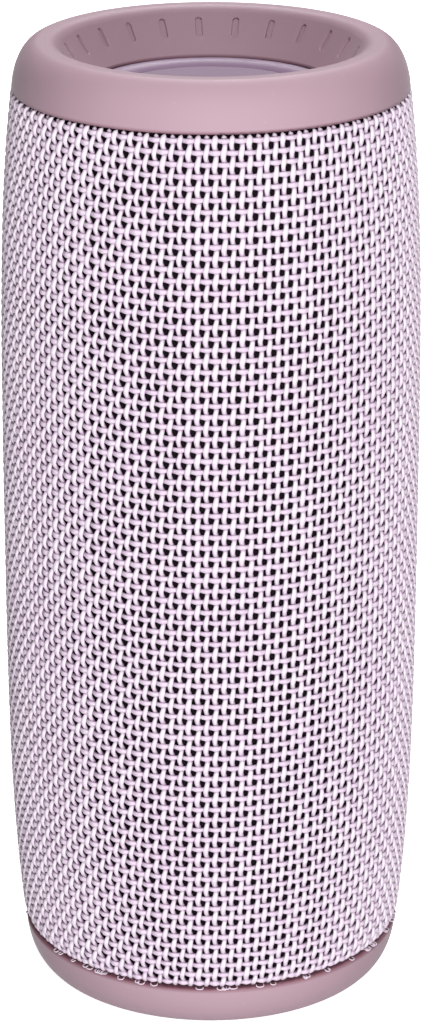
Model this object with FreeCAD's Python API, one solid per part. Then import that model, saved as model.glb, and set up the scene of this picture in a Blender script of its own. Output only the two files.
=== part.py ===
"""Portable barrel speaker, standing upright on one of its two soft end rings.

Origin at the middle of the foot, +Z up, the drivers face -Y and the controls face +Y.
Millimetres throughout.  Each piece is one solid, or one set of identical fasteners.
"""
import FreeCAD
import Part
import math
import os

V = FreeCAD.Vector

# ---------------------------------------------------------------- driving sizes
overall_height = 175.2
barrel_radius = 37.5            # widest, at mid height
barrel_end_radius = 34.9        # where the sleeve meets an end ring
barrel_square_share = 0.14      # how much of the taper is quadratic; the rest is fourth power

ring_height = 8.4               # end ring, crest to sleeve seam
ring_crest_radius = 30.0        # outer edge of the flat crest
ring_land_width = 1.4           # flat crest the speaker can stand on
ring_lip_radius = 26.5          # start of the funnel
ring_lip_depth = 1.1
ring_foot_radius = 21.9         # foot of the funnel
ring_foot_depth = 7.8
ring_skin = 2.5                 # outer wall of the moulding
ring_seam_round = 0.5           # rolled edge that meets the sleeve
funnel_skin = 1.75
foot_thickness = 0.45
slot_count = 24
slot_width = 1.1
slot_depth = 0.6
slot_round = 0.2                # softened edge of a slot
slot_start = 0.18               # shares of the funnel wall that a slot runs over
slot_end = 0.51
slot_turn = 5.0                 # degrees from +Y to the nearest slot

sleeve_thickness = 1.3
lining_thickness = 0.3
soft_gap = 0.1                  # between soft skins and what they lie on
wall = 2.2                      # housing wall
split_gap = 0.1                 # between the two housing halves
part_gap = 0.1                  # between rigid pieces screwed together
frame_height = 1.9              # radiator frame
frame_margin = 2.6              # cap frame's wall round the radiator frame
frame_screw_count = 6
frame_screw_inset = 2.1         # screw centres, in from the radiator frame's edge
frame_screw_length = 6.2
frame_screw_seat = 2.0          # plastic left under a head
flange_thickness = 2.4          # housing flange under it

surround_thickness = 0.7
surround_width = 4.3            # of the roll between the ring's foot and the diaphragm
surround_roll = 0.75            # how far the radiator's surround stands proud
surround_flange = 3.2
surround_edge_gap = 0.9         # flange edge to the cap frame's hoop
diaphragm_depth = 8.9
diaphragm_thickness = 1.2
radiator_weight_radius = 11.0
radiator_weight_thickness = 4.0

driver_radius = 22.2
driver_spacing = 54.0           # centre to centre
driver_face_gap = 0.58          # flange corner to the housing's outside
driver_flange = 1.2
driver_seat_gap = 0.4
driver_screw_inset = 1.6        # screw centres, in from the flange's edge
driver_screw_radius = 0.7
driver_head_radius = 1.25
driver_head_height = 0.7
driver_screw_length = 4.0
driver_screw_angles = (45, 135, 225, 315)
gasket_thickness = 0.5
seat_thickness = 2.4
seat_width = 2.6
basket_rim_inset = 1.7          # rim's inner edge, in from the screw circle
yoke_radius = 12.0
yoke_wall = 2.0
yoke_front = 9.8                # behind the flange front
yoke_back = 20.0
magnet_radius = 7.5
pole_radius = 8.1
pole_front = 11.6
pole_thickness = 2.2
coil_radius = 8.75              # outside of the former
coil_wall = 0.2
coil_front = 5.0
coil_back = 15.6
winding_front = 11.2
winding_back = 14.8
winding_thickness = 0.85
cone_thickness = 0.45
cone_front = 0.5
cone_neck = 5.2
dust_cap_crown = 2.1            # front of the dome, behind the flange front
dust_cap_rise = 2.5
dust_cap_overlap = 0.55
dust_cap_thickness = 0.35
cone_roll_width = 3.0           # rubber roll round the cone
cone_roll_thickness = 0.4
spider_depth = 7.6
spider_wave = 0.35
spider_waves = 4
spider_thickness = 0.3
spider_edge_gap = 0.6           # inside the basket's cone

cell_radius = 9.2
cell_length = 65.0
cell_front_gap = 1.2            # behind the drivers
cell_gap = 0.6
cell_tip_radius = 3.0
cell_tip_height = 1.0
cradle_wall = 1.6
cradle_end_gap = 0.3
cradle_side_gap = 0.15
cradle_post_radius = 2.2
cradle_post_length = 4.5
board_thickness = 1.6
board_width = 38.0
board_length = 104.0
board_standoff = 1.6
board_post_radius = 2.6

strip_width = 15.0
strip_top = 47.0                # above mid height
strip_bottom = -47.0
strip_proud = 0.3
button_radius = 4.3
button_gap = 0.3
button_proud = 0.55
button_travel = 0.5
button_pitch = 12.5
first_button = 37.0             # above mid height
button_count = 5
flange_extra = 0.9
button_board_depth = 8.1        # front of the board, in from the widest barrel
button_board_thickness = 1.2
button_board_half_width = 5.8
button_post_radius = 1.9
switch_size = 4.4
switch_height = 1.4
switch_knob_radius = 1.0
switch_knob_height = 0.5
light_z = -22.5
light_spots = (-3, 0, 3)
light_size = 1.0
light_height = 0.6
light_pin_radius = 0.8
light_bar_half_width = 4.0
light_bar_half_height = 0.9
light_bar_gap = 0.2

port_z = -36.0                  # charging socket, from mid height
socket_width = 8.94
socket_height = 3.26
socket_length = 7.3
door_width = 12.6
door_top = 4.3                  # above the socket's middle
hinge_drop = 4.2                # hinge axis, below the socket's middle
hinge_radius = 1.1
hinge_half_width = 3.6
door_thickness = 1.2
door_gap = 0.3
hinge_web = 0.75                # strip left under the hinge
pin_radius = 0.5
pin_clearance = 0.05

screw_radius = 1.0
screw_clearance = 0.1
head_radius = 1.9
head_height = 1.3
case_screw_length = 13.0
case_screw_seat = 6.0           # under the heads, behind the split
case_screw_rise = 56.0          # upper and lower pairs, from mid height
case_boss_radius = 2.6
case_boss_depth = 9.5           # in the front half
case_boss_inset = 1.6           # screw centres, in from the housing's inside
rear_boss_radius = 3.0

lead_radius = 0.7
lead_pitch = 2.2
lead_clearance = 1.6            # past the cradle's side
lead_depth = 16.0               # behind the driver's front

# ---------------------------------------------------------------- derived sizes
mid = overall_height / 2
half_sleeve = mid - ring_height
lining_out = sleeve_thickness + soft_gap
housing_out = lining_out + lining_thickness + soft_gap
housing_in = housing_out + wall
surround_depth = ring_foot_depth + foot_thickness + soft_gap + 0.15
frame_depth = surround_depth + surround_thickness + part_gap
flange_depth = frame_depth + frame_height
diaphragm_radius = ring_foot_radius - surround_width
hole_radius = screw_radius + screw_clearance
head_hole_radius = head_radius + 0.2
screw_circle = driver_radius - driver_screw_inset
button_board_y = barrel_radius - button_board_depth


def barrel(z, inset=0.0):
    """Radius of the barrel at height z, less an inset."""
    t = (z - mid) / half_sleeve
    fall = barrel_square_share * t ** 2 + (1 - barrel_square_share) * t ** 4
    return barrel_radius - (barrel_radius - barrel_end_radius) * fall - inset


# the flange's far corner decides how deep the drivers sit, and they push the cells back
driver_room = barrel(mid + driver_spacing / 2 + driver_radius, housing_out + driver_face_gap)
driver_face = math.sqrt(driver_room ** 2 - driver_radius ** 2)      # in front of the axis
cell_y = -driver_face + yoke_back + cell_front_gap + cell_radius
board_y = cell_y + cell_radius + cradle_wall + board_standoff


def barrel_curve(inset, low, high):
    count = 11
    pts = []
    for i in range(count):
        z = low + (high - low) * i / (count - 1)
        pts.append(V(barrel(z, inset), 0, z))
    curve = Part.BSplineCurve()
    curve.interpolate(pts)
    return curve.toShape()


def spin(edges, angle=360.0):
    face = Part.Face(Part.Wire(edges))
    return face.revolve(V(0, 0, 0), V(0, 0, 1), angle)


def lines(pts):
    """Straight edges through (radius, height) points, left open."""
    vs = [V(r, 0, z) for r, z in pts]
    return [Part.makeLine(a, b) for a, b in zip(vs, vs[1:])]


def turned(pts):
    """A solid turned from a closed outline of (radius, height) points."""
    return spin(lines(pts + [pts[0]]))


def barrel_solid(inset, low, high):
    edges = [barrel_curve(inset, low, high)]
    edges += lines([(barrel(high, inset), high), (0, high), (0, low), (barrel(low, inset), low)])
    return spin(edges)


def barrel_shell(out, inn, low, high):
    edges = [barrel_curve(out, low, high)]
    edges += lines([(barrel(high, out), high), (barrel(high, inn), high)])
    edges += [barrel_curve(inn, low, high)]
    edges += lines([(barrel(low, inn), low), (barrel(low, out), low)])
    return spin(edges)


def box(x0, x1, y0, y1, z0, z1):
    return Part.makeBox(x1 - x0, y1 - y0, z1 - z0, V(x0, y0, z0))


def rod(radius, start, axis, length):
    return Part.makeCylinder(radius, length, V(*start), V(*axis))


def tube(outer, inner, start, axis, length):
    return rod(outer, start, axis, length).cut(rod(inner, start, axis, length))


def fuse_all(shapes):
    out = shapes[0]
    return out.multiFuse(shapes[1:]).removeSplitter() if len(shapes) > 1 else out


def upside_down(shape):
    """The same piece at the other end of the barrel."""
    return shape.mirror(V(0, 0, mid), V(0, 0, 1))


def save(name, shape):
    if shape.ShapeType == "Compound" and len(shape.Solids) == 1:
        shape = shape.Solids[0]
    shape.exportStep("parts/" + name + ".step")
    print("%-24s solids %d  volume %.0f" % (name, len(shape.Solids), shape.Volume))


def screw(start, axis, length):
    """A pan head screw: start is under the head, axis points along the shank."""
    a = V(*axis)
    s = V(*start)
    shank = Part.makeCylinder(screw_radius, length, s, a)
    head = Part.makeCylinder(head_radius, head_height, s, a * -1)
    return shank.fuse(head).removeSplitter()


# ---------------------------------------------------------------- end rings
def top(depth):
    return overall_height - depth


def ring_outer(depth):
    """Radius of the outside of the ring's rounded shoulder."""
    drop = ring_height + 1.0
    reach = (barrel_end_radius - ring_crest_radius) / math.sqrt(1 - (1.0 / drop) ** 2)
    return ring_crest_radius + reach * math.sqrt(1 - ((drop - depth) / drop) ** 2)


def shoulder():
    """Rounded outside of the ring, level where it meets the flat crest."""
    count = 9
    low = ring_height - ring_seam_round
    pts = []
    for i in range(count):
        depth = low * (1 - (i / (count - 1))) ** 2
        pts.append(V(ring_outer(depth), 0, top(depth)))
    step = 0.01
    lean = (ring_outer(low - step) - ring_outer(low)) / step
    curve = Part.BSplineCurve()
    curve.interpolate(Points=pts, InitialTangent=V(lean, 0, 1), FinalTangent=V(-1, 0, 0))
    return curve.toShape()


def seam_roll():
    """Quarter round from the ring's seam face up to the shoulder."""
    r = ring_seam_round
    x = ring_outer(ring_height - r) - r
    z = top(ring_height - r)
    slant = r * math.sqrt(0.5)
    return Part.Arc(V(x, 0, z - r), V(x + slant, 0, z - slant), V(x + r, 0, z)).toShape()


def funnel_point(share):
    r = ring_lip_radius + (ring_foot_radius - ring_lip_radius) * share
    d = ring_lip_depth + (ring_foot_depth - ring_lip_depth) * share
    return r, d


def funnel_slope():
    return math.atan2(ring_foot_depth - ring_lip_depth, ring_lip_radius - ring_foot_radius)


def under_funnel(share, skin):
    r, d = funnel_point(share)
    a = funnel_slope()
    return r + skin * math.sin(a), d + skin * math.cos(a)


def make_slot():
    """A rounded bar sunk slot_depth into the funnel wall, on the -X side of the axis."""
    r0, d0 = funnel_point(slot_start)
    r1, d1 = funnel_point(slot_end)
    a = V(r0, 0, top(d0))
    b = V(r1, 0, top(d1))
    along = b.sub(a)
    run = along.Length
    along.normalize()
    half = slot_width / 2
    out = V(-math.sin(funnel_slope()), 0, math.cos(funnel_slope()))
    low = a - out * slot_depth
    bar = Part.makeBox(slot_width, run, slot_depth * 3, V(-half, 0, 0))
    ends = [Part.makeCylinder(half, slot_depth * 3, V(0, y, 0)) for y in (0, run)]
    bar = fuse_all([bar] + ends)
    side = along.cross(out)
    m = FreeCAD.Matrix(side.x, along.x, out.x, low.x, side.y, along.y, out.y, low.y,
                       side.z, along.z, out.z, low.z, 0, 0, 0, 1)
    return bar.transformGeometry(m)


def make_ring():
    land_in = ring_crest_radius - ring_land_width
    lip = V(ring_lip_radius, 0, top(ring_lip_depth))
    land = V(land_in, 0, top(0))
    reach = land_in - ring_lip_radius
    bend_radius = (reach ** 2 + ring_lip_depth ** 2) / (2 * ring_lip_depth)
    half = math.asin(reach / bend_radius) / 2
    bend = V(land_in - bend_radius * math.sin(half), 0, top(bend_radius * (1 - math.cos(half))))
    knee_r, knee_d = under_funnel(0.08, funnel_skin)
    heel_r, heel_d = under_funnel(0.93, funnel_skin)
    under = ring_foot_depth + foot_thickness
    edges = [shoulder()]
    edges += lines([(ring_crest_radius, top(0)), (land_in, top(0))])
    edges += [Part.Arc(land, bend, lip).toShape()]
    edges += lines([
        (ring_lip_radius, top(ring_lip_depth)),
        (ring_foot_radius, top(ring_foot_depth)),
        (ring_foot_radius, top(under)),
        (heel_r, top(under)),
        (knee_r, top(knee_d)),
        (ring_crest_radius + 0.2, top(knee_d)),
        (barrel_end_radius - ring_skin, top(ring_height)),
        (ring_outer(ring_height - ring_seam_round) - ring_seam_round, top(ring_height)),
    ])
    edges += [seam_roll()]
    ring = spin(edges)
    cutter = make_slot()
    slots = []
    for k in range(slot_count):
        turn = 90.0 + slot_turn + 360.0 * k / slot_count
        slots.append(cutter.rotated(V(0, 0, 0), V(0, 0, 1), turn))
    ring = ring.cut(Part.makeCompound(slots))
    return soften_slots(ring)


def soften_slots(ring):
    """Round the edges where the slots break the funnel wall."""
    slope = math.tan(funnel_slope())
    rims = []
    for edge in ring.Edges:
        ends = [v.Point for v in edge.Vertexes]
        level = [(ring_lip_radius - math.hypot(p.x, p.y)) * slope - (top(ring_lip_depth) - p.z) for p in ends]
        small = edge.BoundBox.DiagonalLength < ring_lip_radius
        inside = all(ring_lip_depth + 0.2 < top(0) - p.z < ring_foot_depth - 0.2 for p in ends)
        if small and inside and all(abs(v) < 0.01 for v in level):
            rims.append(edge)
    return ring.makeFillet(slot_round, rims)


def screw_spots():
    """Angles of the screws that hold an end frame."""
    step = 360.0 / frame_screw_count
    return [step * (k + 0.5) for k in range(frame_screw_count)]


def radiator_frame_room():
    """Inside of the cap frame's skirt, where the radiator frame sits."""
    return barrel_end_radius - ring_skin - frame_margin


def frame_screw_radius():
    return radiator_frame_room() - frame_screw_inset


def polar(radius, angle, z):
    a = math.radians(angle)
    return (radius * math.cos(a), radius * math.sin(a), z)


def make_cap_frame():
    """Rigid hoop inside the soft ring; it clamps the radiator's edge."""
    clear = 0.2
    knee_r, knee_d = under_funnel(0.08, funnel_skin + clear)
    heel_r, heel_d = under_funnel(0.93, funnel_skin + clear)
    foot = ring_foot_depth + foot_thickness + part_gap
    hoop_in = ring_foot_radius + surround_flange + surround_edge_gap
    frame_out = radiator_frame_room()
    hoop_out = barrel_end_radius - ring_skin - clear
    body = turned([
        (knee_r, top(knee_d + clear)),
        (ring_crest_radius + 0.1, top(knee_d + clear)),
        (hoop_out, top(ring_height + part_gap)),
        (hoop_out, top(flange_depth - part_gap)),
        (frame_out, top(flange_depth - part_gap)),
        (frame_out, top(frame_depth - part_gap)),
        (hoop_in, top(frame_depth - part_gap)),
        (hoop_in, top(foot)),
        (heel_r, top(foot)),
    ])
    seat = frame_depth - part_gap - frame_screw_seat
    for angle in screw_spots():
        at = polar(frame_screw_radius(), angle, top(flange_depth))
        body = body.cut(rod(hole_radius, at, (0, 0, 1), frame_screw_length))
        at = polar(frame_screw_radius(), angle, top(seat))
        body = body.cut(rod(head_hole_radius, at, (0, 0, 1), ring_height))
    return body


def make_radiator_frame():
    inner = ring_foot_radius + 1.1
    outer = radiator_frame_room() - part_gap
    body = turned([
        (inner, top(frame_depth)), (outer, top(frame_depth)),
        (outer, top(flange_depth - part_gap)), (inner, top(flange_depth - part_gap)),
    ])
    for angle in screw_spots():
        at = polar(frame_screw_radius(), angle, top(flange_depth))
        body = body.cut(rod(hole_radius, at, (0, 0, 1), frame_screw_length))
    return body


def make_frame_screws():
    start = frame_depth - part_gap - frame_screw_seat
    out = []
    for angle in screw_spots():
        at = polar(frame_screw_radius(), angle, top(start))
        out.append(screw(at, (0, 0, -1), frame_screw_length))
    return out


def make_surround():
    """Rubber roll between the diaphragm and its frame."""
    inner = diaphragm_radius + 0.08
    outer = ring_foot_radius + surround_flange
    start = ring_foot_radius - 0.1
    d0 = surround_depth
    d1 = diaphragm_depth + 0.05
    mid_r = (inner + start) / 2
    mid_d = (d0 + d1) / 2 - surround_roll
    t = surround_thickness
    edges = lines([(outer, top(d0)), (start, top(d0))])
    edges += [Part.Arc(V(start, 0, top(d0)), V(mid_r, 0, top(mid_d)), V(inner, 0, top(d1))).toShape()]
    edges += lines([(inner, top(d1)), (inner, top(d1 + t))])
    edges += [Part.Arc(V(inner, 0, top(d1 + t)), V(mid_r, 0, top(mid_d + t)),
                       V(start, 0, top(d0 + t))).toShape()]
    edges += lines([(start, top(d0 + t)), (outer, top(d0 + t)), (outer, top(d0))])
    return spin(edges)


def make_diaphragm():
    low = top(diaphragm_depth + diaphragm_thickness)
    disc = rod(diaphragm_radius, (0, 0, low), (0, 0, 1), diaphragm_thickness)
    rim = [e for e in disc.Edges if e.BoundBox.ZMin > low + diaphragm_thickness / 2]
    return disc.makeFillet(0.35, [e for e in rim if e.BoundBox.ZLength < 0.01])


def make_radiator_weight():
    low = top(diaphragm_depth + diaphragm_thickness + radiator_weight_thickness)
    return rod(radiator_weight_radius, (0, 0, low), (0, 0, 1), radiator_weight_thickness)


# ---------------------------------------------------------------- housing
def driver_centres():
    return [mid + driver_spacing / 2, mid - driver_spacing / 2]


def case_screw_heights():
    return [mid - case_screw_rise, mid, mid + case_screw_rise]


def case_screw_x(z):
    return barrel(z, housing_in) - case_boss_inset


def strip_window(gap, inner, outer):
    half = strip_width / 2 + gap
    low = mid + strip_bottom - gap
    high = mid + strip_top + gap
    return box(-half, half, inner, outer, low, high)


def button_heights():
    return [mid + first_button - button_pitch * k for k in range(button_count)]


def board_posts():
    """Board fixings on the rear housing: (x, z)."""
    x = board_width / 2 - 4.0
    z = board_length / 2 - 5.0
    return [(sx * x, mid + sz * z) for sx in (-1, 1) for sz in (-1, 1)]


def button_board_posts():
    return [mid + strip_top - 1.6, mid + light_z - 5.2]


def half_housing(side):
    """side -1 is the front half with the drivers, +1 the rear half with the controls."""
    low = flange_depth
    high = overall_height - flange_depth
    shell = barrel_shell(housing_out, housing_in, low, high)
    root = barrel_solid(housing_out + wall / 2, low, high)      # posts end inside the wall
    flange_in = ring_foot_radius + 1.1
    flange_out = barrel(low, housing_out) - wall / 2
    rim = tube(flange_out, flange_in, (0, 0, low), (0, 0, 1), flange_thickness)
    shell = fuse_all([shell, rim, upside_down(rim)])
    big = barrel_radius * 2
    if side < 0:
        keep = box(-big, big, -big, -split_gap / 2, 0, overall_height)
    else:
        keep = box(-big, big, split_gap / 2, big, 0, overall_height)
    shell = shell.common(keep)
    bosses = []
    for z in case_screw_heights():
        for sx in (-1, 1):
            x = sx * case_screw_x(z)
            if side < 0:
                start = (x, -case_boss_depth, z)
                bosses.append(rod(case_boss_radius, start, (0, 1, 0), case_boss_depth - split_gap / 2))
            else:
                bosses.append(rod(rear_boss_radius, (x, split_gap / 2, z), (0, 1, 0), barrel_radius))
    shell = fuse_all([shell] + [b.common(root) for b in bosses])
    for z in case_screw_heights():
        for sx in (-1, 1):
            x = sx * case_screw_x(z)
            tip = case_screw_seat - case_screw_length - 1.5
            shell = shell.cut(rod(hole_radius, (x, tip, z), (0, 1, 0), case_screw_seat - tip + 1.5))
            if side > 0:
                shell = shell.cut(rod(head_hole_radius, (x, case_screw_seat, z), (0, 1, 0), barrel_radius))
    for angle in screw_spots():
        at = polar(frame_screw_radius(), angle, flange_depth - 0.5)
        hole = rod(hole_radius, at, (0, 0, 1), flange_thickness + 1.5)
        shell = shell.cut(hole).cut(upside_down(hole))
    return shell, root


def seat_y():
    return -driver_face + driver_flange + gasket_thickness + part_gap


def make_front_housing():
    shell = half_housing(-1)[0]
    skin = barrel_solid(housing_out, flange_depth, overall_height - flange_depth)
    ring_r = driver_radius + driver_seat_gap + seat_width
    far = barrel_radius * 1.2
    for z in driver_centres():
        pad = rod(ring_r, (0, -far, z), (0, 1, 0), far + seat_y() + seat_thickness)
        shell = shell.fuse(pad.common(skin))
    for z in driver_centres():
        pocket = rod(driver_radius + driver_seat_gap, (0, -far, z), (0, 1, 0), far + seat_y())
        bore = rod(screw_circle - 1.1, (0, -far, z), (0, 1, 0), far)
        shell = shell.cut(pocket).cut(bore)
        for angle in driver_screw_angles:
            a = math.radians(angle)
            at = (screw_circle * math.cos(a), -far, z + screw_circle * math.sin(a))
            shell = shell.cut(rod(driver_screw_radius + screw_clearance, at, (0, 1, 0), far))
    return shell


def make_rear_housing():
    shell, root = half_housing(1)
    top_y = board_y + board_thickness
    posts = []
    for x, z in board_posts():
        posts.append(rod(board_post_radius, (x, top_y, z), (0, 1, 0), barrel_radius).common(root))
    face = button_board_y + button_board_thickness
    for z in button_board_posts():
        posts.append(rod(button_post_radius, (0, face, z), (0, 1, 0), barrel_radius).common(root))
    shell = fuse_all([shell] + posts)
    for x, z in board_posts():
        shell = shell.cut(rod(hole_radius, (x, top_y - 1, z), (0, 1, 0), 6.5))
    for z in button_board_posts():
        shell = shell.cut(rod(hole_radius, (0, face - 1, z), (0, 1, 0), 4.3))
    reach = barrel_radius * 1.2
    for z in button_heights():
        shell = shell.cut(rod(button_radius + flange_extra + button_gap, (0, face + 1, z), (0, 1, 0), reach))
    pocket = [light_bar(face, barrel(mid + light_z, housing_in) + 0.3, light_bar_gap)]
    for x in light_spots:
        pocket.append(rod(light_pin_radius + 0.1, (x, face, mid + light_z), (0, 1, 0), reach))
    shell = shell.cut(fuse_all(pocket))
    shell = shell.cut(socket_hole(0.45, reach))
    return shell.cut(hinge_groove())


# ---------------------------------------------------------------- drivers
def driver_turned(pts, z):
    """A piece turned about the driver axis; points are (radius, distance behind the front)."""
    body = turned([(r, -s) for r, s in pts])
    return place_driver(body, z)


def place_driver(body, z):
    body = body.rotated(V(0, 0, 0), V(1, 0, 0), 90)
    return body.translated(V(0, -driver_face, z))


def driver_holes(body, z, radius):
    for angle in driver_screw_angles:
        a = math.radians(angle)
        at = (screw_circle * math.cos(a), -driver_face - 2, z + screw_circle * math.sin(a))
        body = body.cut(rod(radius, at, (0, 1, 0), 6))
    return body


def basket_cone():
    """Ends of the basket's inside cone, each as (radius, depth behind the flange's front)."""
    wide = (screw_circle - basket_rim_inset - 1.1, driver_flange + 0.15)
    narrow = (yoke_radius + 0.05, yoke_front + 0.1)
    return wide, narrow


def basket_bore(depth):
    """Inside radius of the basket's cone at a depth."""
    (r0, s0), (r1, s1) = basket_cone()
    return r0 + (r1 - r0) * (depth - s0) / (s1 - s0)


def make_basket(z):
    rim = screw_circle - basket_rim_inset
    wide, narrow = basket_cone()
    seat = narrow[0]
    body = driver_turned([
        (driver_radius, 0), (driver_radius, driver_flange), (rim + 0.3, driver_flange),
        (seat + 1.9, yoke_front + 0.6), (seat + 1.9, yoke_front + 3.2), (seat, yoke_front + 3.2),
        narrow, wide, (rim, 0.5), (rim, 0),
    ], z)
    for turn in range(4):
        cutter = box(-4.5, 4.5, -driver_face + 3.0, -driver_face + yoke_front - 0.6, 0, driver_radius)
        cutter = cutter.rotated(V(0, 0, 0), V(0, 1, 0), 90 * turn).translated(V(0, 0, z))
        body = body.cut(cutter)
    return driver_holes(body, z, 0.85)


def make_yoke(z):
    inner = yoke_radius - yoke_wall
    return driver_turned([
        (yoke_radius, yoke_front), (yoke_radius, yoke_back), (0, yoke_back),
        (0, yoke_back - yoke_wall), (inner, yoke_back - yoke_wall), (inner, yoke_front),
    ], z)


def make_magnet(z):
    front = pole_front + pole_thickness
    back = yoke_back - yoke_wall
    return driver_turned([(0, front), (magnet_radius, front), (magnet_radius, back), (0, back)], z)


def make_pole(z):
    back = pole_front + pole_thickness
    return driver_turned([(0, pole_front), (pole_radius, pole_front), (pole_radius, back), (0, back)], z)


def make_coil(z):
    inner = coil_radius - coil_wall
    wound = coil_radius + winding_thickness
    return driver_turned([
        (inner, coil_front), (coil_radius, coil_front), (coil_radius, winding_front),
        (wound, winding_front), (wound, winding_back), (coil_radius, winding_back),
        (coil_radius, coil_back), (inner, coil_back),
    ], z)


def cone_roll_inner():
    return screw_circle - 1.75 - cone_roll_width


def make_cone(z):
    neck = coil_radius + 0.05
    edge = cone_roll_inner() - 0.05
    t = cone_thickness
    return driver_turned([(neck, cone_neck), (edge, cone_front), (edge, cone_front + t),
                          (neck, cone_neck + t)], z)


def bow(radius, rise, crown, thin=0.0):
    """Arc of a dome round the axis, from its crown to its rim, as an edge."""
    big = (radius ** 2 + rise ** 2) / (2 * rise) - thin
    centre = -(crown + thin) - big
    turn = math.asin(radius / (big + thin))
    pts = [V(big * math.sin(a), 0, centre + big * math.cos(a)) for a in (0, turn / 2, turn)]
    return Part.Arc(*pts).toShape(), pts[2]


def make_dust_cap(z):
    radius = coil_radius + dust_cap_overlap
    outer, rim = bow(radius, dust_cap_rise, dust_cap_crown)
    inner, lip = bow(radius, dust_cap_rise, dust_cap_crown, dust_cap_thickness)
    edges = [outer, Part.makeLine(rim, lip), inner]
    edges += lines([(0, -dust_cap_crown - dust_cap_thickness), (0, -dust_cap_crown)])
    return place_driver(spin(edges), z)


def make_driver_surround(z):
    a = cone_roll_inner()
    b = a + cone_roll_width
    m = (a + b) / 2
    rise = m - a
    t = cone_roll_thickness
    edges = [Part.Arc(V(a, 0, -0.3), V(m, 0, -0.3 + rise), V(b, 0, -0.3)).toShape()]
    edges += lines([(b, -0.3), (b - t, -0.3)])
    edges += [Part.Arc(V(b - t, 0, -0.3), V(m, 0, -0.3 + rise - t), V(a + t, 0, -0.3)).toShape()]
    edges += lines([(a + t, -0.3), (a, -0.3)])
    return place_driver(spin(edges), z)


def make_spider(z):
    """Corrugated centring disc round the coil."""
    r0 = coil_radius + 0.05
    r1 = basket_bore(spider_depth + spider_thickness) - spider_edge_gap
    upper = []
    for i in range(2 * spider_waves + 1):
        r = r0 + (r1 - r0) * i / (2 * spider_waves)
        upper.append((r, spider_depth + spider_wave * (i % 2)))
    lower = [(r, s + spider_thickness) for r, s in reversed(upper)]
    return driver_turned(upper + lower, z)


def make_gasket(z):
    front = driver_flange + soft_gap / 2
    back = front + gasket_thickness
    inner = screw_circle - 0.95
    body = driver_turned([(inner, front), (driver_radius, front), (driver_radius, back), (inner, back)], z)
    return driver_holes(body, z, 0.85)


def make_driver_screws():
    out = []
    for z in driver_centres():
        for angle in driver_screw_angles:
            a = math.radians(angle)
            x = screw_circle * math.cos(a)
            h = z + screw_circle * math.sin(a)
            front = -driver_face - driver_head_height
            shank = rod(driver_screw_radius, (x, -driver_face, h), (0, 1, 0), driver_screw_length)
            head = rod(driver_head_radius, (x, front, h), (0, 1, 0), driver_head_height)
            out.append(shank.fuse(head).removeSplitter())
    return out


# ---------------------------------------------------------------- power and boards
def cell_centres():
    x = cell_radius + cell_gap / 2
    return [(-x, cell_y), (x, cell_y)]


def make_cells():
    low = mid - cell_length / 2
    out = []
    for x, y in cell_centres():
        can = cell_length - cell_tip_height
        body = rod(cell_radius, (x, y, low), (0, 0, 1), can)
        tip = rod(cell_tip_radius, (x, y, low + can), (0, 0, 1), cell_tip_height)
        out.append(body.fuse(tip))
    return out


def cradle_posts():
    x = board_width / 2 - 2.6
    z = cell_length / 2 - 3.0
    return [(sx * x, mid + sz * z) for sx in (-1, 1) for sz in (-1, 1)]


def cradle_half():
    return 2 * cell_radius + cell_gap / 2 + cradle_wall


def make_cradle():
    half = cradle_half()
    tall = cell_length / 2 + cradle_end_gap + cradle_wall
    back = cell_y + cell_radius + cradle_wall
    body = box(-half, half, cell_y, back, mid - tall, mid + tall)
    posts = []
    for x, z in cradle_posts():
        start = (x, back - cradle_post_length, z)
        posts.append(rod(cradle_post_radius, start, (0, 1, 0), board_y - start[1]))
    body = fuse_all([body] + posts)
    for x, z in cradle_posts():
        body = body.cut(rod(hole_radius, (x, board_y - 5.0, z), (0, 1, 0), 6))
    low = mid - cell_length / 2 - cradle_end_gap
    for x, y in cell_centres():
        room = rod(cell_radius + cradle_side_gap, (x, y, low), (0, 0, 1), cell_length + 2 * cradle_end_gap)
        body = body.cut(room)
    return body


def make_main_board():
    half = board_width / 2
    tall = board_length / 2
    body = box(-half, half, board_y, board_y + board_thickness, mid - tall, mid + tall)
    for x, z in board_posts() + cradle_posts():
        body = body.cut(rod(hole_radius, (x, board_y - 1, z), (0, 1, 0), 4))
    return body


def make_board_screws():
    out = []
    for x, z in board_posts():
        out.append(screw((x, board_y, z), (0, 1, 0), 6.0))
    for x, z in cradle_posts():
        out.append(screw((x, board_y + board_thickness, z), (0, -1, 0), 6.0))
    for z in button_board_posts():
        out.append(screw((0, button_board_y, z), (0, 1, 0), 4.0))
    return out


def on_board(x, z, w, h, tall):
    y = board_y + board_thickness
    return box(x - w / 2, x + w / 2, y, y + tall, mid + z - h / 2, mid + z + h / 2)


def make_chips():
    return [on_board(-8, 8, 7, 7, 1.0), on_board(8, 10, 9, 9, 1.2), on_board(0, 38, 14, 12, 2.0)]


def make_inductors():
    return [on_board(sx * 9.5, z, 6, 6, 3.2) for sx in (-1, 1) for z in (-8, -17)]


def make_capacitors():
    y = board_y + board_thickness
    out = []
    for x in (-5.5, 5.5):
        out.append(rod(4.0, (x, y, mid + 24), (0, 1, 0), 5.5))
    return out


def make_button_board():
    low = mid + light_z - 8.0
    high = mid + strip_top + 1.0
    y1 = button_board_y + button_board_thickness
    body = box(-button_board_half_width, button_board_half_width, button_board_y, y1, low, high)
    for z in button_board_posts():
        body = body.cut(rod(hole_radius, (0, button_board_y - 1, z), (0, 1, 0), 4))
    return body


def switch_top():
    return button_board_y + button_board_thickness + switch_height + switch_knob_height


def make_switches():
    y = button_board_y + button_board_thickness
    half = switch_size / 2
    out = []
    for z in button_heights():
        body = box(-half, half, y, y + switch_height, z - half, z + half)
        knob = rod(switch_knob_radius, (0, y + switch_height, z), (0, 1, 0), switch_knob_height)
        out.append(body.fuse(knob).removeSplitter())
    return out


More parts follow.
